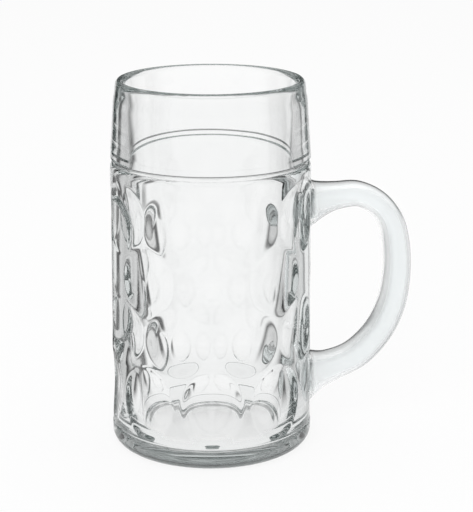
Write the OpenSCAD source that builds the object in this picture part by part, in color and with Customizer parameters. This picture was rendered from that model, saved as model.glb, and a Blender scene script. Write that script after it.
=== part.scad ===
/* [Vessel] */
// Height of the mug, from the plane it stands on to its rim
mug_h = 200; // [194:1:212]
// Outside diameter of the foot band
foot_d = 109.4; // [107:0.2:112]
// Outside diameter of the body just above the heel line
body_foot_d = 108.8; // [106.4:0.2:111]
// Outside diameter of the body at its shoulder, under the collar groove
body_top_d = 107.2; // [105:0.2:110]
// Thickness of the wall at the shoulder, between dimples
wall_top_t = 9; // [7.4:0.2:11]
// Thickness of the wall just above the heel line
wall_foot_t = 10; // [7.4:0.2:12]
// Thickness of the glass under the drinking space
floor_t = 8; // [6.5:0.5:16]
// Radius between the wall and the floor, inside
floor_corner_r = 9; // [6:0.5:24]

/* [Foot] */
// Height of the foot band, up to the heel line
foot_h = 12; // [10:0.5:15]
// Radius of the foot's lower edge
foot_round = 7; // [3:0.5:8]
// Depth of the fine heel line
heel_depth = 0.6; // [0.2:0.1:1.2]
// Width of the fine heel line
heel_w = 1.6; // [0.8:0.1:2.4]
// Diameter of the hollow under the base
recess_d = 76; // [60:1:84]
// Depth of the hollow under the base
recess_depth = 1.8; // [0.8:0.1:3]
// Radial width of the hollow's sloping edge
recess_slope_w = 5; // [2:0.5:10]

/* [Lip] */
// Height of the smooth lip band, from its lower corner to the rim
lip_band_h = 41; // [36:0.2:46]
// Outside diameter of the lip band at its lower corner
lip_base_d = 106.8; // [105:0.2:108]
// Outside diameter of the lip band where the rim starts to turn in
lip_top_d = 102.6; // [100:0.2:104]
// Height over which the rim leans in, outside
rim_lean_h = 11; // [7:0.5:14]
// Outside diameter where the lean ends and the rim's rounded edge starts
rim_edge_d = 100.4; // [99:0.2:102]
// Height of the rim's rounded edge, outside
rim_outer_h = 3.5; // [2:0.5:6]
// Height of the rim's rounded edge, inside
rim_inner_h = 3.5; // [2:0.5:6]
// Thickness of the lip band's wall, under the rim
lip_wall_t = 6.2; // [5:0.2:7.6]
// Diameter of the rim's crest
rim_d = 96.4; // [95:0.2:98]
// Diameter at the bottom of the collar groove
groove_d = 104; // [102:0.2:105.6]
// Height of the groove's upper flank, under the lip band
groove_upper_h = 2.8; // [2:0.2:5]
// Height of the rounded shoulder, under the groove
shoulder_h = 3.6; // [3:0.2:7]

/* [Dimples] */
// Number of dimple columns around the mug, in every row
columns = 9; // [7:2:11]
// Depth of each dimple, below the body's surface
dimple_depth = 3.6; // [2.6:0.1:4.4]
// Width of a dimple in the top row, along the surface
row_a_w = 35; // [30:0.5:38]
// Height of a dimple in the top row
row_a_h = 37; // [30:0.5:42]
// Width of a dimple in the second row, along the surface
row_b_w = 32.4; // [28:0.5:36]
// Height of a dimple in the second row
row_b_h = 36.4; // [30:0.5:42]
// Width of a dimple in the third row, along the surface
row_c_w = 33; // [28:0.5:36]
// Height of a dimple in the third row
row_c_h = 34.6; // [30:0.5:40]
// Width of a dimple in the lowest row, along the surface
row_d_w = 32.6; // [28:0.5:36]
// Height of a dimple in the lowest row
row_d_h = 40; // [30:0.5:42]
// Width of the plain raised panel opposite the handle
panel_w = 46; // [36:1:54]
// Height of the plain raised panel
panel_h = 75; // [60:1:84]
// Corner radius of the plain raised panel
panel_corner_r = 14; // [8:1:17]

/* [Handle] */
// Distance from the body's surface to the outside of the grip
handle_reach = 57.6; // [50:0.5:66]
// Height between the middles of the handle's two roots
handle_span = 98; // [92:1:104]
// Drop from the body's shoulder to the middle of the upper root
handle_drop = 20.5; // [18:0.5:26]
// Thickness of the grip, in the plane of the handle
grip_t = 15; // [12:0.5:17]
// Width of the grip, across the handle
grip_w = 21; // [16:0.5:24]
// Thickness that each root gains where it meets the body
root_gain_t = 12; // [4:0.5:14]
// Width that each root gains where it meets the body
root_gain_w = 9; // [4:0.5:12]
// Length over which each root flares out
root_flare_l = 26; // [12:1:32]

/* [Hidden] */
$fn = 96;
round_fn = 180;
glass_colour = [0.88, 0.93, 0.93, 0.45];
handle_colour = [0.93, 0.96, 0.96, 0.6];

// Heights that follow from the bands of the vessel
lip_z = mug_h - lip_band_h;
groove_z = lip_z - groove_upper_h;
shoulder_z = groove_z - shoulder_h;
heel_top_z = foot_h + heel_w / 2;
body_zone_h = shoulder_z - foot_h;

// Outer radius of the body at height z, between the heel line and the shoulder
function body_r(z) =
    (body_foot_d + (body_top_d - body_foot_d) * (z - heel_top_z) / (shoulder_z - heel_top_z)) / 2;

// Points of a quarter of an ellipse about centre, from angle a0 to a1
arc_steps = 8;
function arc(centre, rx, rz, a0, a1, first = 0) =
    [for (i = [first:arc_steps])
        let (a = a0 + (a1 - a0) * i / arc_steps)
        [centre[0] + rx * cos(a), centre[1] + rz * sin(a)]];

// Half section of the vessel, outside from the base up and inside down again
bore_top_d = lip_top_d - 2 * lip_wall_t;
bore_foot_d = body_foot_d - 2 * wall_foot_t;
outer_points = concat(
    [[0, recess_depth]],
    [[recess_d / 2 - recess_slope_w, recess_depth]],
    [[recess_d / 2, 0]],
    arc([foot_d / 2 - foot_round, foot_round], foot_round, foot_round, -90, 0),
    [[foot_d / 2, foot_h - heel_w / 2]],
    [[min(foot_d, body_foot_d) / 2 - heel_depth, foot_h]],
    [[body_foot_d / 2, heel_top_z]],
    arc([groove_d / 2, shoulder_z], (body_top_d - groove_d) / 2, shoulder_h, 0, 90),
    arc([lip_base_d / 2, groove_z], (lip_base_d - groove_d) / 2, groove_upper_h, 180, 90, first = 1),
    [[lip_top_d / 2, mug_h - rim_lean_h]],
    arc([rim_d / 2, mug_h - rim_outer_h], (rim_edge_d - rim_d) / 2, rim_outer_h, 0, 90));
inner_points = concat(
    arc([rim_d / 2, mug_h - rim_inner_h], (rim_d - bore_top_d) / 2, rim_inner_h, 90, 180, first = 1),
    [[body_top_d / 2 - wall_top_t, shoulder_z]],
    arc([bore_foot_d / 2 - floor_corner_r, floor_t + floor_corner_r],
        floor_corner_r, floor_corner_r, 0, -90),
    [[0, floor_t]]);

// A dimple's cutter is the near side of a ring that stands upright beside the mug. Its
// curve in height and its curve around the mug follow from the dimple's size and depth.
dimple_fn = 144;
cutter_proud = dimple_depth / 8;
module dimple(z, w, h) {
    r = body_r(z);
    half_a = w / 2 / r * 180 / PI;
    tall_r = (h * h / 4 + dimple_depth * dimple_depth) / (2 * dimple_depth);
    fall = r * (1 - cos(half_a));
    wide_c = dimple_depth * (2 * r - dimple_depth) / (2 * (dimple_depth - fall));
    wide_r = wide_c - r + dimple_depth;
    cut_t = dimple_depth + cutter_proud;
    reach_a = 2 * asin((w / 2 + cutter_proud) / wide_r);
    translate([wide_c, 0, z])
        rotate([0, 0, 180 - reach_a / 2])
            rotate_extrude(angle = reach_a, $fn = dimple_fn)
                intersection() {
                    translate([wide_r - tall_r, 0])
                        circle(r = tall_r, $fn = dimple_fn);
                    translate([wide_r - cut_t, -h])
                        square([cut_t, 2 * h]);
                }
}

// Rows from the top: place between the heel line and the shoulder, width and height.
// Rows A and C stand on the handle's column, rows B and D half a column further on.
row_place_shares = [0.846, 0.631, 0.414, 0.158];
row_widths = [row_a_w, row_b_w, row_c_w, row_d_w];
row_heights = [row_a_h, row_b_h, row_c_h, row_d_h];
column_a = 360 / columns;
function row_z(row) = foot_h + body_zone_h * row_place_shares[row];
function column_place(row, col) = column_a * (col + (row % 2 == 0 ? 0 : 0.5));
// The strip behind the handle is plain, and so is the panel's place in the second row
panel_row = 1;
plain_strip_share = 0.75;
plain_panel_share = 0.25;
function from_handle(row, col) =
    let (a = column_place(row, col)) min(a, 360 - a);
function is_plain(row, col) =
    from_handle(row, col) < column_a * plain_strip_share
    || (row == panel_row && from_handle(row, col) > 180 - column_a * plain_panel_share);

// Space over the raised panel, which the dimples beside it leave standing
module panel_keep() {
    rotate([90, 0, -90])
        linear_extrude(body_foot_d)
            translate([0, row_z(panel_row)])
                panel_outline();
}

// Rounded rectangle of the panel, upright about its middle
module panel_outline() {
    square([panel_w - 2 * panel_corner_r, panel_h], center = true);
    square([panel_w, panel_h - 2 * panel_corner_r], center = true);
    for (x = [-1, 1], y = [-1, 1])
        translate([x * (panel_w / 2 - panel_corner_r), y * (panel_h / 2 - panel_corner_r)])
            circle(r = panel_corner_r);
}

module dimples(rows) {
    for (row = rows)
        for (col = [0:columns - 1])
            if (!is_plain(row, col))
                rotate([0, 0, column_place(row, col)])
                    dimple(row_z(row), row_widths[row], row_heights[row]);
}

module glass_body() {
    color(glass_colour)
        difference() {
            difference() {
                rotate_extrude($fn = round_fn)
                    polygon(concat(outer_points, inner_points));
                difference() {
                    dimples([0, 2]);
                    panel_keep();
                }
            }
            dimples([1, 3]);
        }
}

// Middle line of the handle. Across, 0 is the body's surface and 1 the grip's middle line.
// In height, 0 is the middle of the lower root and 1 that of the upper one. The third
// value is the bar's thickness there, as a share of the grip's.
handle_shares = [
    [-0.48, 0.97, 0.93], [-0.21, 0.985, 0.93], [0.06, 1, 0.93], [0.31, 1.018, 0.93],
    [0.55, 1.02, 0.93], [0.77, 0.963, 0.94], [0.92, 0.86, 0.97], [0.99, 0.71, 1],
    [1, 0.54, 1.01], [0.945, 0.364, 1.02], [0.8, 0.21, 1.02], [0.56, 0.085, 1.03],
    [0.28, 0.025, 1.03], [0.04, -0.002, 1.03], [-0.21, -0.025, 1.03], [-0.48, -0.05, 1.03]];
upper_root_z = shoulder_z - handle_drop;
lower_root_z = upper_root_z - handle_span;
handle_r = body_r((upper_root_z + lower_root_z) / 2);
function handle_point(i) =
    [handle_r + handle_shares[i][0] * (handle_reach - grip_t / 2),
     lower_root_z + handle_shares[i][1] * handle_span,
     grip_t * handle_shares[i][2]];

// Smooth curve through the middle line's points, with the bar's thickness
rings_each = 5;
sides = 28;
last = len(handle_shares) - 2;
function spline(p0, p1, p2, p3, t) =
    0.5 * (2 * p1 + (p2 - p0) * t + (2 * p0 - 5 * p1 + 4 * p2 - p3) * t * t
    + (3 * p1 - p0 - 3 * p2 + p3) * t * t * t);
function handle_at(i, t) =
    spline(handle_point(i - 1), handle_point(i), handle_point(i + 1), handle_point(i + 2), t);
middle_line = [for (i = [1:last - 1], j = [0:rings_each - 1]) handle_at(i, j / rings_each),
    handle_at(last - 1, 1)];

// How far a ring has flared out: 1 at the body's surface and 0 beyond the flare
flare_power = 3;
function flare(x) = pow(max(0, 1 - max(0, x - handle_r) / root_flare_l), flare_power);

// Direction of the middle line at one of its points, in the plane of the handle
rings = len(middle_line);
function heading(i) =
    let (ahead = middle_line[min(i + 1, rings - 1)],
         behind = middle_line[max(i - 1, 0)],
         d = [ahead[0] - behind[0], ahead[1] - behind[1]])
    d / norm(d);

// One ring of the bar, a full oval square to the middle line
oval_power = 0.86;
function bulge(v) = sign(v) * pow(abs(v), oval_power);
function ring(i) =
    let (p = middle_line[i],
         d = heading(i),
         grown = flare(p[0]),
         half_t = (p[2] + root_gain_t * grown) / 2,
         half_w = (grip_w + root_gain_w * grown) / 2)
    [for (k = [0:sides - 1])
        let (a = 360 * k / sides, n = half_t * bulge(cos(a)))
        [p[0] - d[1] * n, half_w * bulge(sin(a)), p[1] + d[0] * n]];

module bar() {
    points = [for (i = [0:rings - 1]) each ring(i)];
    side_faces = [for (i = [0:rings - 2], k = [0:sides - 1])
        let (a = i * sides + k, b = i * sides + (k + 1) % sides)
        each [[a, b, b + sides], [a, b + sides, a + sides]]];
    start_face = [[for (k = [0:sides - 1]) sides - 1 - k]];
    end_face = [[for (k = [0:sides - 1]) (rings - 1) * sides + k]];
    polyhedron(points, concat(side_faces, start_face, end_face), convexity = 4);
}

// The roots end on the vessel's own outline, so they seat on it wherever they stand
module handle() {
    color(handle_colour)
        difference() {
            bar();
            rotate_extrude($fn = round_fn)
                polygon(concat(outer_points, [[0, mug_h]]));
        }
}

glass_body();
handle();
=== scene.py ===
import math

import bpy
import numpy as np
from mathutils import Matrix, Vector


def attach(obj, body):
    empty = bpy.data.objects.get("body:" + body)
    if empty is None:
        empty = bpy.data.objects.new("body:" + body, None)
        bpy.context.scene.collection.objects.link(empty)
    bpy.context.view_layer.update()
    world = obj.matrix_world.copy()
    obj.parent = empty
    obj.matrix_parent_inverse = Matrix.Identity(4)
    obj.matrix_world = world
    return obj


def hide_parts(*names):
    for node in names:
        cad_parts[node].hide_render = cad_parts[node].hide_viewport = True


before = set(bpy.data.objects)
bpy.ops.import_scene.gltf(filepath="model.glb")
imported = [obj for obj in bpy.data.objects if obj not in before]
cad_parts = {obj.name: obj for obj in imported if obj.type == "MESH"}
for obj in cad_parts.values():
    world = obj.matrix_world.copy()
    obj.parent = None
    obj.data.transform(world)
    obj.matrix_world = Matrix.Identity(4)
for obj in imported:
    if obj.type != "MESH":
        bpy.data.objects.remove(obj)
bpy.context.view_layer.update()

# Lengths below are in millimetres, and the meshes are made in metres
MM = 0.001

# Vessel, in bands from the base up
MUG_H = 200.0
FOOT_R = 54.7
FOOT_H = 12.0
FOOT_ROUND = 7.0
HEEL_DEPTH = 0.6
HEEL_W = 1.6
RECESS_R = 38.0
RECESS_DEPTH = 1.8
RECESS_SLOPE_W = 5.0
BODY_FOOT_R = 54.4
BODY_TOP_R = 53.6
SHOULDER_H = 3.6
GROOVE_R = 52.0
GROOVE_UPPER_H = 2.8
LIP_BASE_R = 53.4
LIP_TOP_R = 51.3
LIP_BAND_H = 41.0
RIM_LEAN_H = 11.0
RIM_EDGE_R = 50.2
RIM_OUTER_H = 3.5
RIM_INNER_H = 3.5
RIM_R = 48.2
LIP_WALL_T = 6.2
WALL_TOP_T = 9.0
WALL_FOOT_T = 10.0
FLOOR_T = 8.0
FLOOR_CORNER_R = 9.0

# Rounding of the section's corners: how far before each corner its curve starts
CORNER_SHARE_MAX = 0.45
RECESS_EASE = 1.6
HEEL_EASE = 0.5
LEAN_EASE = 2.5
LIP_EDGE_ROUND = 0.15

LIP_Z = MUG_H - LIP_BAND_H
SHOULDER_Z = LIP_Z - GROOVE_UPPER_H - SHOULDER_H
HEEL_TOP_Z = FOOT_H + HEEL_W / 2

# Rows of dimples: place between the foot and the shoulder, width, height, first column, depth,
# and the share of the depth that lies in the dimple's crisp edge
ROWS = (
    (0.846, 35.0, 37.0, 0.0, 2.9, 0.05),
    (0.631, 32.4, 36.4, 0.5, 2.9, 0.09),
    (0.414, 33.0, 34.6, 0.0, 2.9, 0.06),
    (0.158, 32.6, 40.0, 0.5, 3.6, 0.25),
)
COLUMNS = 9
CRISP_POWER = 10
FAR_SPREAD = 1.5
EDGE_ROUND = 0.5

# The strip behind the handle and the place of the panel have no dimples. Their half widths here
# are in steps from one column to the next
COLUMN_STEP = 2 * math.pi / COLUMNS
PLAIN_STEPS = 0.75
PANEL_STEPS = 0.25
PANEL_ROW = 1
PANEL_W = 46.0
PANEL_H = 75.0
PANEL_CORNER_R = 14.0
PANEL_STEP_W = 1.6
PANEL_SIDE_ANGLE = 1.2

# Handle. Its middle line is a row of shares: reach, span and thickness
HANDLE_REACH = 57.56
HANDLE_SPAN = 98.0
HANDLE_DROP = 20.5
GRIP_T = 15.0
GRIP_W = 21.0
ROOT_GAIN_T = 12.0
ROOT_GAIN_W = 9.0
ROOT_FLARE_L = 26.0
ROOT_FLARE_POWER = 3
HANDLE_SHARES = (
    (-0.48, 0.97, 0.93), (-0.21, 0.985, 0.93), (0.06, 1, 0.93), (0.31, 1.018, 0.93),
    (0.55, 1.02, 0.93), (0.77, 0.963, 0.94), (0.92, 0.86, 0.97), (0.99, 0.71, 1),
    (1, 0.54, 1.01), (0.945, 0.364, 1.02), (0.8, 0.21, 1.02), (0.56, 0.085, 1.03),
    (0.28, 0.025, 1.03), (0.04, -0.002, 1.03), (-0.21, -0.025, 1.03), (-0.48, -0.05, 1.03),
)
OVAL_POWER = 0.86

# Search for where the handle's roots meet the body, in steps from one ring to the next
MEET_STEPS_MAX = 12.0
MEET_HALVINGS = 40

# Mesh density
AROUND = 480
BODY_STEPS = 240
FOOT_STEPS = 12
COLLAR_STEPS = 10
LIP_EDGE_STEPS = 3
BAND_STEPS = 8
LEAN_STEPS = 6
RIM_STEPS = 16
RIM_INNER_STEPS = 10
LIP_WALL_STEPS = 6
WALL_STEPS = 14
BEND_STEPS = 16
FLOOR_STEPS = 6
FLOOR_MIDDLE_R = 2.0
RECESS_RINGS = (0.3, 0.6)
FOOT_RING_STEP = 4.0
BODY_FROM_HEEL = 0.6
BODY_TO_SHOULDER = 0.3
SKIN_TOLERANCE = 0.01
BAR_SIDES = 72
BAR_RINGS_EACH = 12
CAP_RINGS = (0.8, 0.55, 0.3, 0.1)

# Glass. The waves' heights are in millimetres, and the densities are per metre
GLASS_IOR = 1.52
GLASS_TINT = (0.2, 0.28, 0.27, 1)
WHITE = (1, 1, 1, 1)
WAVE_SCALE = 35
WAVE_DETAIL = 1
VESSEL_WAVE_H = 0.12
VESSEL_DENSITY = 7
HANDLE_WAVE_H = 0.02
HANDLE_DENSITY = 1

# Satin skin of the handle: it starts and is full at these distances from the axis, and gives
# way to clear, glossy glass where the surface turns edge on
SATIN_FROM_R = 54.3
SATIN_FULL_R = 56.8
SATIN_ROUGHNESS = 0.28
SATIN_CLEAR_SHARE = 0.37
SATIN_TINT = (0.955, 0.985, 0.99, 1)
ROOT_ROUGHNESS = 0.02
EDGE_ON_BLEND = 0.5
EDGE_ON_FROM = 0.4
EDGE_ON_FULL = 0.9
EDGE_ON_ROUGHNESS = 0.1


def body_radius(z):
    """Outer radius of the body between the heel line and the shoulder."""
    share = (z - HEEL_TOP_Z) / (SHOULDER_Z - HEEL_TOP_Z)
    return BODY_FOOT_R + (BODY_TOP_R - BODY_FOOT_R) * share


def arc(centre, rx, rz, a0, a1, steps, first=0):
    """Points of an elliptical arc about centre, from angle a0 to a1 in degrees."""
    angles = np.radians(np.linspace(a0, a1, steps + 1)[first:])
    return [(centre[0] + rx * math.cos(a), centre[1] + rz * math.sin(a)) for a in angles]


def straight(start, end, steps):
    """Points after start, in equal steps up to end."""
    start, end = np.array(start), np.array(end)
    return [tuple(start + (end - start) * i / steps) for i in range(1, steps + 1)]


def eased(corners, reach, steps=3):
    """A polyline with every inner corner turned in a small curve that starts reach before it."""
    points = [corners[0]]
    for before, at, after in zip(corners, corners[1:], corners[2:]):
        before, at, after = map(np.array, (before, at, after))
        back, on = before - at, after - at
        a = at + back * min(CORNER_SHARE_MAX, reach / np.linalg.norm(back))
        b = at + on * min(CORNER_SHARE_MAX, reach / np.linalg.norm(on))
        for i in range(steps + 1):
            t = i / steps
            points.append(tuple((1 - t) ** 2 * a + 2 * t * (1 - t) * at + t * t * b))
    return points + [corners[-1]]


def smooth_least(a, b, width):
    """The smaller of two fields, blended where they are within width of each other."""
    h = np.clip(0.5 + 0.5 * (b - a) / width, 0, 1)
    return b + (a - b) * h - width * h * (1 - h)


def smooth_step(x):
    """0 up to x = 0, 1 from x = 1, and a soft rise between."""
    x = np.clip(x, 0, 1)
    return x * x * (3 - 2 * x)


def is_plain(row, angle):
    """True behind the handle, and where the panel takes a dimple's place."""
    from_handle = min(angle, 2 * math.pi - angle)
    if from_handle < PLAIN_STEPS * COLUMN_STEP:
        return True
    return row == PANEL_ROW and from_handle > math.pi - PANEL_STEPS * COLUMN_STEP


def row_height(row):
    """Height of the middle of a row of dimples."""
    return FOOT_H + (SHOULDER_Z - FOOT_H) * ROWS[row][0]


def dimple_surface(angle, z, row):
    """Radius of one dimple's surface: a shallow bowl with a crisp edge, angle from its middle."""
    _, width, height, _, depth, crisp = ROWS[row]
    angle = (angle + math.pi) % (2 * math.pi) - math.pi
    plain = body_radius(z)
    across = angle * body_radius(row_height(row)) / (width / 2)
    up = (z - row_height(row)) / (height / 2)
    spread = np.minimum(np.hypot(across, up), FAR_SPREAD)
    bowl = (1 - crisp) * (1 - spread ** 2) + crisp * (1 - spread ** CRISP_POWER)
    return plain - depth * bowl


def panel_distance(angle, z):
    """Distance outside the panel's outline, negative inside it."""
    angle = (angle + 2 * math.pi) % (2 * math.pi) - math.pi
    across = body_radius(z) * np.sin(angle)
    across = np.where(np.abs(angle) < PANEL_SIDE_ANGLE, across, PANEL_W * 2)
    up = z - row_height(PANEL_ROW)
    dx = np.abs(across) - PANEL_W / 2 + PANEL_CORNER_R
    dz = np.abs(up) - PANEL_H / 2 + PANEL_CORNER_R
    outside = np.hypot(np.maximum(dx, 0), np.maximum(dz, 0))
    return outside + np.minimum(np.maximum(dx, dz), 0) - PANEL_CORNER_R


def dimpled_radius(angle, z):
    """Outer radius of the body with its dimples and its raised panel."""
    plain = body_radius(z)
    radius = plain.copy()
    open_share = smooth_step(panel_distance(angle, z) / PANEL_STEP_W)
    for row, (_, _, _, start, _, _) in enumerate(ROWS):
        for column in range(COLUMNS):
            middle = COLUMN_STEP * (column + start)
            if is_plain(row, middle):
                continue
            surface = dimple_surface(angle - middle, z, row)
            if row % 2 == 0:
                surface = plain + (surface - plain) * np.where(surface < plain, open_share, 1)
            radius = smooth_least(radius, surface, EDGE_ROUND * 2)
    return radius


def revolved(points):
    """Ring of vertices round the axis for every point of a half section, dimpled on the body."""
    angle = np.arange(AROUND) * 2 * math.pi / AROUND
    r, z = np.array(points).T
    radius = np.repeat(r[:, None], AROUND, 1)
    height = np.repeat(z[:, None], AROUND, 1)
    on_skin = radius > BODY_TOP_R - SKIN_TOLERANCE
    on_skin &= (height > HEEL_TOP_Z) & (height < SHOULDER_Z)
    angles = np.repeat(angle[None, :], len(r), 0)
    radius = np.where(on_skin, dimpled_radius(angles, height), radius)
    return np.stack([radius * np.cos(angles), radius * np.sin(angles), height], -1)


def lofted(name, rings, caps):
    """Closed mesh through equal rings of vertices, with a fan at each end."""
    count, around = rings.shape[:2]
    vertices = list(map(tuple, rings.reshape(-1, 3) * MM))
    faces = []
    for i in range(count - 1):
        for k in range(around):
            a, b = i * around + k, i * around + (k + 1) % around
            faces.append((a, b, b + around, a + around))
    for ring, centre, turn in caps:
        vertices.append(tuple(np.array(centre) * MM))
        tip = len(vertices) - 1
        for k in range(around):
            a, b = ring * around + k, ring * around + (k + 1) % around
            faces.append((b, a, tip) if turn else (a, b, tip))
    mesh = bpy.data.meshes.new(name)
    mesh.from_pydata(vertices, [], faces)
    mesh.validate()
    mesh.polygons.foreach_set("use_smooth", [True] * len(mesh.polygons))
    mesh.update()
    piece = bpy.data.objects.new(name, mesh)
    bpy.context.scene.collection.objects.link(piece)
    return piece


def vessel_section():
    """Half section of the vessel, from the middle of the base up and inside down again."""
    return base_section() + foot_and_body_section() + lip_section() + inner_section()


def base_section():
    """Hollow under the base, and the ring that the mug stands on."""
    base = [(RECESS_R * share, RECESS_DEPTH) for share in RECESS_RINGS]
    base += [(RECESS_R - RECESS_SLOPE_W, RECESS_DEPTH)]
    base += [(RECESS_R, 0.0), (RECESS_R + FOOT_RING_STEP, 0.0)]
    return eased(base, RECESS_EASE)


def foot_and_body_section():
    """Foot, heel line, body and the shoulder up to the bottom of the groove."""
    foot_centre = (FOOT_R - FOOT_ROUND, FOOT_ROUND)
    foot = arc(foot_centre, FOOT_ROUND, FOOT_ROUND, -90, 0, FOOT_STEPS)
    heel = [foot[-1], (FOOT_R, FOOT_H - HEEL_W / 2), (BODY_FOOT_R - HEEL_DEPTH, FOOT_H)]
    heel += [(BODY_FOOT_R, HEEL_TOP_Z), (BODY_FOOT_R, HEEL_TOP_Z + 1)]
    body_from = HEEL_TOP_Z + BODY_FROM_HEEL
    body_to = (BODY_TOP_R, SHOULDER_Z - BODY_TO_SHOULDER)
    body = straight((body_radius(body_from), body_from), body_to, BODY_STEPS)
    collar_w = BODY_TOP_R - GROOVE_R
    collar = arc((GROOVE_R, SHOULDER_Z), collar_w, SHOULDER_H, 0, 90, COLLAR_STEPS)
    return foot + eased(heel, HEEL_EASE)[1:-1] + body + collar


def lip_section():
    """Upper flank of the groove, the lip band and the rim."""
    lean_from = (LIP_TOP_R, MUG_H - RIM_LEAN_H)
    edge_from = (RIM_EDGE_R, MUG_H - RIM_OUTER_H)
    flank_centre = (LIP_BASE_R, LIP_Z - GROOVE_UPPER_H)
    flank_w = LIP_BASE_R - GROOVE_R
    flank = arc(flank_centre, flank_w, GROOVE_UPPER_H, 180, 90, COLLAR_STEPS, first=1)
    lip = [flank[-2], (LIP_BASE_R, LIP_Z), lean_from]
    lip = eased(lip, LIP_EDGE_ROUND, LIP_EDGE_STEPS)[1:-1]
    band = straight(lip[-1], lean_from, BAND_STEPS)[:-1]
    band += eased([band[-1], lean_from, edge_from], LEAN_EASE, LEAN_STEPS)[1:-1]
    rim_centre = (RIM_R, MUG_H - RIM_OUTER_H)
    rim = arc(rim_centre, RIM_EDGE_R - RIM_R, RIM_OUTER_H, 0, 90, RIM_STEPS)
    return flank[:-2] + lip + band + rim


def inner_section():
    """Inner side of the rim, the wall, the rounded corner and the floor."""
    rim_centre = (RIM_R, MUG_H - RIM_INNER_H)
    rim_w = RIM_R - (LIP_TOP_R - LIP_WALL_T)
    rim = arc(rim_centre, rim_w, RIM_INNER_H, 90, 180, RIM_INNER_STEPS, first=1)
    wall_top = (BODY_TOP_R - WALL_TOP_T, SHOULDER_Z)
    corner_r = BODY_FOOT_R - WALL_FOOT_T
    bend_centre = (corner_r - FLOOR_CORNER_R, FLOOR_T + FLOOR_CORNER_R)
    bend = arc(bend_centre, FLOOR_CORNER_R, FLOOR_CORNER_R, 0, -90, BEND_STEPS)
    wall = straight(rim[-1], wall_top, LIP_WALL_STEPS)
    wall += straight(wall_top, bend[0], WALL_STEPS)[:-1]
    return rim + wall + bend + straight(bend[-1], (FLOOR_MIDDLE_R, FLOOR_T), FLOOR_STEPS)


def make_vessel():
    """Mesh of the vessel, closed in the middle of the base and of the floor."""
    section = vessel_section()
    rings = revolved(section)
    caps = [(0, (0, 0, RECESS_DEPTH), True), (len(section) - 1, (0, 0, FLOOR_T), False)]
    return lofted("glass_vessel", rings, caps)


def spline(points, i, t):
    """Smooth curve through points i and i + 1."""
    a, b, c, d = points[i - 1], points[i], points[i + 1], points[i + 2]
    return 0.5 * (2 * b + (c - a) * t + (2 * a - 5 * b + 4 * c - d) * t ** 2
                  + (3 * b - a - 3 * c + d) * t ** 3)


def handle_line():
    """Middle line of the handle as rows of distance from the axis, height and thickness."""
    upper = SHOULDER_Z - HANDLE_DROP
    lower = upper - HANDLE_SPAN
    seat = body_radius((upper + lower) / 2)
    shares = np.array(HANDLE_SHARES)
    points = np.stack([seat + shares[:, 0] * (HANDLE_REACH - GRIP_T / 2),
                       lower + shares[:, 1] * HANDLE_SPAN, GRIP_T * shares[:, 2]], 1)
    line = [spline(points, i, j / BAR_RINGS_EACH)
            for i in range(1, len(points) - 2) for j in range(BAR_RINGS_EACH)]
    return np.array(line), seat


def bulge(v):
    """Sine or cosine drawn out, for a cross-section between an oval and a rounded bar."""
    return np.sign(v) * np.abs(v) ** OVAL_POWER


def bar_rings():
    """Rings of the handle's bar, flared at both roots and cut at the body."""
    line, seat = handle_line()
    heading = np.gradient(line[:, :2], axis=0)
    heading /= np.linalg.norm(heading, axis=1)[:, None]
    around = np.arange(BAR_SIDES) * 2 * math.pi / BAR_SIDES
    rings = []
    for (x, z, thick), (dx, dz) in zip(line, heading):
        grown = max(0, 1 - max(0, x - seat) / ROOT_FLARE_L) ** ROOT_FLARE_POWER
        n = (thick + ROOT_GAIN_T * grown) / 2 * bulge(np.cos(around))
        y = (GRIP_W + ROOT_GAIN_W * grown) / 2 * bulge(np.sin(around))
        rings.append(np.stack([x - dz * n, y, z + dx * n], -1))
    return seated(np.array(rings))


def on_body(p):
    """Point moved along x to the body's own cone."""
    r = body_radius(p[..., 2])
    x = np.sqrt(np.maximum(r ** 2 - p[..., 1] ** 2, 0))
    return np.stack([x, p[..., 1], p[..., 2]], -1)


def seated(rings):
    """The bar's rings, with what lies inside the body drawn out to the body's surface."""
    radius = np.hypot(rings[..., 0], rings[..., 1])
    outside = radius > body_radius(rings[..., 2])
    clear = np.where(outside.all(1))[0]
    first, last = clear[0], clear[-1]
    start = meets(rings[first], rings[first - 1])
    end = meets(rings[last], rings[last + 1])
    return np.concatenate([[start], rings[first:last + 1], [end]])


def meets(outer, inner):
    """Where the lines from an outer ring on towards an inner one meet the body's surface."""
    step = inner - outer
    low, high = np.zeros(len(outer)), np.full(len(outer), MEET_STEPS_MAX)
    for _ in range(MEET_HALVINGS):
        mid = (low + high) / 2
        p = outer + step * mid[:, None]
        out = np.hypot(p[:, 0], p[:, 1]) > body_radius(p[:, 2])
        low = np.where(out, mid, low)
        high = np.where(out, high, mid)
    return outer + step * low[:, None]


def root_caps(rings):
    """Seat faces as rings that shrink to the middle on the body's own surface."""
    caps = []
    for edge in (rings[0], rings[-1]):
        middle = edge.mean(0)
        caps.append([on_body(middle + (edge - middle) * share) for share in CAP_RINGS])
    return caps


def make_handle():
    """Mesh of the handle, closed by a seat face at each root."""
    rings = bar_rings()
    start, end = root_caps(rings)
    whole = np.concatenate([start[::-1], rings, end])
    first, last = on_body(whole[0].mean(0)), on_body(whole[-1].mean(0))
    return lofted("glass_handle", whole, [(0, first, True), (len(whole) - 1, last, False)])


def node(tree, kind, **values):
    """New shader node with its plain properties and input values set."""
    made = tree.nodes.new(kind)
    for key, value in values.items():
        if hasattr(made, key):
            setattr(made, key, value)
        else:
            made.inputs[key.replace("_", " ")].default_value = value
    return made


def calc(tree, operation, a, b):
    """Output of one math node on two sockets or numbers."""
    made = node(tree, "ShaderNodeMath", operation=operation)
    for socket, value in zip(made.inputs, (a, b)):
        if isinstance(value, (int, float)):
            socket.default_value = value
        else:
            tree.links.new(value, socket)
    return made.outputs[0]


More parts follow.
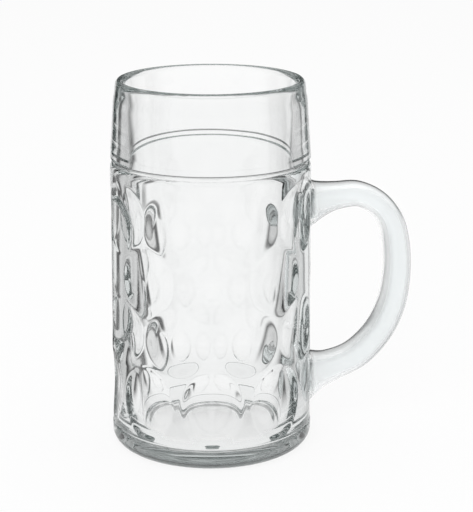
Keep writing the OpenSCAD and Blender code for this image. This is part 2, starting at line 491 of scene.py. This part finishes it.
def eased_range(tree, value, start, end, low, high):
    """Output that runs smoothly from low to high as value runs from start to end."""
    made = node(tree, "ShaderNodeMapRange", interpolation_type="SMOOTHSTEP")
    for name, number in (("From Min", start), ("From Max", end), ("To Min", low), ("To Max", high)):
        if isinstance(number, (int, float)):
            made.inputs[name].default_value = number
        else:
            tree.links.new(number, made.inputs[name])
    tree.links.new(value, made.inputs["Value"])
    return made.outputs[0]


def flattened(tree, place):
    """Output of a place with its height taken away."""
    flat = node(tree, "ShaderNodeVectorMath", operation="MULTIPLY")
    flat.inputs[1].default_value = (1, 1, 0)
    tree.links.new(place, flat.inputs[0])
    return flat.outputs[0]


def new_material(name):
    """Empty material and its node tree."""
    material = bpy.data.materials.new(name)
    material.use_nodes = True
    material.node_tree.nodes.clear()
    return material, material.node_tree


def glass(name, wave_height, density):
    """Clear pressed glass: faintly green, with the slow waves that a mould leaves."""
    material, tree = new_material(name)
    out = node(tree, "ShaderNodeOutputMaterial")
    shader = node(tree, "ShaderNodeBsdfPrincipled")
    shader.inputs["Base Color"].default_value = WHITE
    shader.inputs["Transmission Weight"].default_value = 1
    shader.inputs["IOR"].default_value = GLASS_IOR
    shader.inputs["Roughness"].default_value = 0
    place = node(tree, "ShaderNodeTexCoord")
    waves = node(tree, "ShaderNodeTexNoise")
    waves.inputs["Scale"].default_value = WAVE_SCALE
    waves.inputs["Detail"].default_value = WAVE_DETAIL
    bump = node(tree, "ShaderNodeBump")
    bump.inputs["Strength"].default_value = 1
    bump.inputs["Distance"].default_value = wave_height * MM
    tree.links.new(place.outputs["Object"], waves.inputs["Vector"])
    tree.links.new(waves.outputs["Fac"], bump.inputs["Height"])
    tree.links.new(bump.outputs["Normal"], shader.inputs["Normal"])
    tree.links.new(shader.outputs["BSDF"], out.inputs["Surface"])
    body = node(tree, "ShaderNodeVolumeAbsorption")
    body.inputs["Color"].default_value = GLASS_TINT
    body.inputs["Density"].default_value = density
    tree.links.new(body.outputs["Volume"], out.inputs["Volume"])
    return material, tree, shader, place


def satin(tree, shader, place):
    """Frost the bar of the handle, and leave its roots clear, where they were melted on."""
    shader.inputs["Base Color"].default_value = SATIN_TINT
    from_axis = node(tree, "ShaderNodeVectorMath", operation="LENGTH")
    tree.links.new(flattened(tree, place.outputs["Object"]), from_axis.inputs[0])
    radius = from_axis.outputs["Value"]
    start, full = SATIN_FROM_R * MM, SATIN_FULL_R * MM
    frost = eased_range(tree, radius, start, full, ROOT_ROUGHNESS, SATIN_ROUGHNESS)
    clear = eased_range(tree, radius, start, full, 1, SATIN_CLEAR_SHARE)
    facing = node(tree, "ShaderNodeLayerWeight", Blend=EDGE_ON_BLEND).outputs["Facing"]
    clear = eased_range(tree, facing, EDGE_ON_FROM, EDGE_ON_FULL, clear, 1)
    frost = eased_range(tree, facing, EDGE_ON_FROM, EDGE_ON_FULL, frost, EDGE_ON_ROUGHNESS)
    tree.links.new(frost, shader.inputs["Roughness"])
    tree.links.new(clear, shader.inputs["Transmission Weight"])


def dress(piece, material, node_name):
    """Give a piece its material and the body it rides on, and hide the CAD part it stands for."""
    piece.data.materials.append(material)
    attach(piece, "root")
    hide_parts(node_name)


vessel_glass = glass("body_glass", VESSEL_WAVE_H, VESSEL_DENSITY)
handle_glass = glass("handle_glass", HANDLE_WAVE_H, HANDLE_DENSITY)
satin(*handle_glass[1:])
dress(make_vessel(), vessel_glass[0], "glass_body")
dress(make_handle(), handle_glass[0], "handle")


# Painted surroundings that the glass alone shows, in metres and degrees: glow on the floor and in
# the world that only glossy and transmission rays see. Soft lanes of painted light lie on the
# floor, each with its heading, the half width of its full part, the width of its fading edge and
# its level. Bands of painted shade lie between them; there are no cards. Above the horizon the
# world paints a dark gap, a haze and a bright ceiling. The last lane is painted as the bright side
# of the room and reaches up the wall.
LANES = ((77, 25, 8, 1.0), (133, 10, 8, 0.7), (25, 14, 8, 0.7), (250, 75, 25, 1.0))
# Level of the painted shade between the lanes, seen only by the glass
PAINTED_DARK_LEVEL = 0.015
# Painted light on the floor near the mug, seen only by the glass, fading into the lanes from NEAR_R
# to FAR_R
NEAR_LEVEL = 0.95
NEAR_R = 0.07
FAR_R = 0.15
GAP_FROM = 3.5
GAP_FULL = 5
GAP_LEVEL = 0.01
HAZE_FROM = 12
HAZE_FULL = 22
HAZE_LEVEL = 0.62
CEILING_FROM = 45
CEILING_FULL = 55
CEILING_LEVEL = 1.0
FLOOR_GLOW_SHARE = 0.88
FLOOR_COLOUR = (0.85, 0.85, 0.85, 1)
FLOOR_HALF_W = 12.0
FLOOR_Z = -0.0002
WORLD_SHARE = 0.8

# Lamps for the satin skin and the floor: name, place and power
LAMPS = (
    ("top_softbox", (0.3, 0.5, 1.4), 2.5),
    ("front_softbox", (-0.5, -1.3, 0.9), 15),
)
LAMP_W = 1.5
LAMP_AIM = (0, 0, 0.1)

# The view of the photograph
VIEW_HEADING = 78.8
VIEW_PITCH = 15.7
CAMERA_AT = (-151.6, -836.5, 342.0)
FOCAL_PX = 1632
FRAME_PX = 512
SENSOR_MM = 36

BOUNCES = 40


def lane_level(tree, place, painted_dark, lanes=LANES):
    """Level by heading round the mug: each lane's painted light inside it, and the painted dark
    level between them.
    """
    unit = node(tree, "ShaderNodeVectorMath", operation="NORMALIZE")
    tree.links.new(flattened(tree, place), unit.inputs[0])
    level = painted_dark
    for heading, half, edge, full in lanes:
        along = node(tree, "ShaderNodeVectorMath", operation="DOT_PRODUCT")
        a = math.radians(heading)
        along.inputs[1].default_value = (math.cos(a), math.sin(a), 0)
        tree.links.new(unit.outputs[0], along.inputs[0])
        outer = math.cos(math.radians(half + edge))
        inner = math.cos(math.radians(half))
        here = eased_range(tree, along.outputs["Value"], outer, inner, painted_dark, full)
        level = calc(tree, "MAXIMUM", level, here)
    return level


def seen_by_glass(tree):
    """1 for rays that the glass sends on, 0 for the rest."""
    path = node(tree, "ShaderNodeLightPath")
    return calc(tree, "MAXIMUM", path.outputs["Is Glossy Ray"], path.outputs["Is Transmission Ray"])


def make_floor():
    """Floor under the mug, plain white to the camera; its material paints lanes of light and shade
    for the glass.
    """
    w = FLOOR_HALF_W
    mesh = bpy.data.meshes.new("floor")
    mesh.from_pydata([(-w, -w, 0), (w, -w, 0), (w, w, 0), (-w, w, 0)], [], [(0, 1, 2, 3)])
    floor = bpy.data.objects.new("floor", mesh)
    floor.location.z = FLOOR_Z
    bpy.context.scene.collection.objects.link(floor)
    mesh.materials.append(floor_material())


def floor_material():
    """White to the camera with the mug's shadow; to the glass, painted lanes of light with painted
    shade between them.
    """
    material, tree = new_material("floor_white")
    out = node(tree, "ShaderNodeOutputMaterial")
    matt = node(tree, "ShaderNodeBsdfDiffuse")
    matt.inputs["Color"].default_value = FLOOR_COLOUR
    glow = node(tree, "ShaderNodeEmission")
    place = node(tree, "ShaderNodeTexCoord")
    away = node(tree, "ShaderNodeVectorMath", operation="LENGTH")
    tree.links.new(place.outputs["Object"], away.inputs[0])
    # Painted light and painted shade by heading round the mug, which only glossy and transmission
    # rays see
    lanes = lane_level(tree, place.outputs["Object"], PAINTED_DARK_LEVEL)
    level = eased_range(tree, away.outputs["Value"], NEAR_R, FAR_R, NEAR_LEVEL, lanes)
    path = node(tree, "ShaderNodeLightPath")
    level = calc(tree, "MAXIMUM", level, path.outputs["Is Camera Ray"])
    tree.links.new(level, glow.inputs["Strength"])
    share = calc(tree, "MULTIPLY", path.outputs["Is Camera Ray"], FLOOR_GLOW_SHARE)
    share = calc(tree, "MAXIMUM", share, seen_by_glass(tree))
    mix = node(tree, "ShaderNodeMixShader")
    tree.links.new(share, mix.inputs[0])
    tree.links.new(matt.outputs[0], mix.inputs[1])
    tree.links.new(glow.outputs[0], mix.inputs[2])
    tree.links.new(mix.outputs[0], out.inputs["Surface"])
    return material


def make_world():
    """White to the camera, plain soft light on the mug, and painted lanes, painted shade, a haze
    and a bright ceiling to the glass.
    """
    world = bpy.data.worlds.new("studio")
    bpy.context.scene.world = world
    world.use_nodes = True
    tree = world.node_tree
    tree.nodes.clear()
    out = node(tree, "ShaderNodeOutputWorld")
    place = node(tree, "ShaderNodeTexCoord")
    apart = node(tree, "ShaderNodeSeparateXYZ")
    tree.links.new(place.outputs["Generated"], apart.inputs[0])
    up = apart.outputs["Z"]
    # Painted light and shade in the world's glow by heading and height, which only glossy and
    # transmission rays see
    level = lane_level(tree, place.outputs["Generated"], PAINTED_DARK_LEVEL)
    side = lane_level(tree, place.outputs["Generated"], GAP_LEVEL, LANES[-1:])
    bands = ((GAP_FROM, GAP_FULL, GAP_LEVEL), (HAZE_FROM, HAZE_FULL, HAZE_LEVEL),
             (CEILING_FROM, CEILING_FULL, CEILING_LEVEL))
    for start, full, target in bands:
        low, high = math.sin(math.radians(start)), math.sin(math.radians(full))
        target = calc(tree, "MAXIMUM", side, target)
        level = eased_range(tree, up, low, high, level, target)
    plain = calc(tree, "SUBTRACT", 1, seen_by_glass(tree))
    level = calc(tree, "MAXIMUM", level, plain)
    level = calc(tree, "MULTIPLY", level, WORLD_SHARE)
    path = node(tree, "ShaderNodeLightPath")
    level = calc(tree, "MAXIMUM", level, path.outputs["Is Camera Ray"])
    shine = node(tree, "ShaderNodeBackground")
    shine.inputs["Color"].default_value = WHITE
    tree.links.new(level, shine.inputs["Strength"])
    tree.links.new(shine.outputs[0], out.inputs["Surface"])


def make_camera():
    """Camera at the fitted place of the photograph's own."""
    data = bpy.data.cameras.new("camera")
    data.sensor_width = SENSOR_MM
    data.lens = FOCAL_PX * SENSOR_MM / FRAME_PX
    camera = bpy.data.objects.new("camera", data)
    heading, pitch = math.radians(VIEW_HEADING), math.radians(VIEW_PITCH)
    level = math.cos(pitch)
    ahead = Vector((math.cos(heading) * level, math.sin(heading) * level, -math.sin(pitch)))
    camera.rotation_mode = "QUATERNION"
    camera.rotation_quaternion = ahead.to_track_quat("-Z", "Y")
    camera.location = Vector(CAMERA_AT) * MM
    bpy.context.scene.collection.objects.link(camera)
    bpy.context.scene.camera = camera


def make_lamp(name, at, power):
    """Soft lamp aimed at the mug, which the glass itself doesn't show."""
    data = bpy.data.lights.new(name, "AREA")
    data.size = LAMP_W
    data.energy = power
    lamp = bpy.data.objects.new(name, data)
    lamp.location = at
    lamp.visible_glossy = False
    lamp.visible_transmission = False
    lamp.rotation_mode = "QUATERNION"
    lamp.rotation_quaternion = (Vector(LAMP_AIM) - lamp.location).to_track_quat("-Z", "Y")
    bpy.context.scene.collection.objects.link(lamp)


make_camera()
make_floor()
make_world()
for lamp_name, lamp_at, lamp_power in LAMPS:
    make_lamp(lamp_name, lamp_at, lamp_power)
bpy.context.scene.view_settings.view_transform = "Standard"

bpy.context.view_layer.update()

bpy.context.scene.cycles.max_bounces = BOUNCES
bpy.context.scene.cycles.glossy_bounces = BOUNCES
bpy.context.scene.cycles.transmission_bounces = BOUNCES
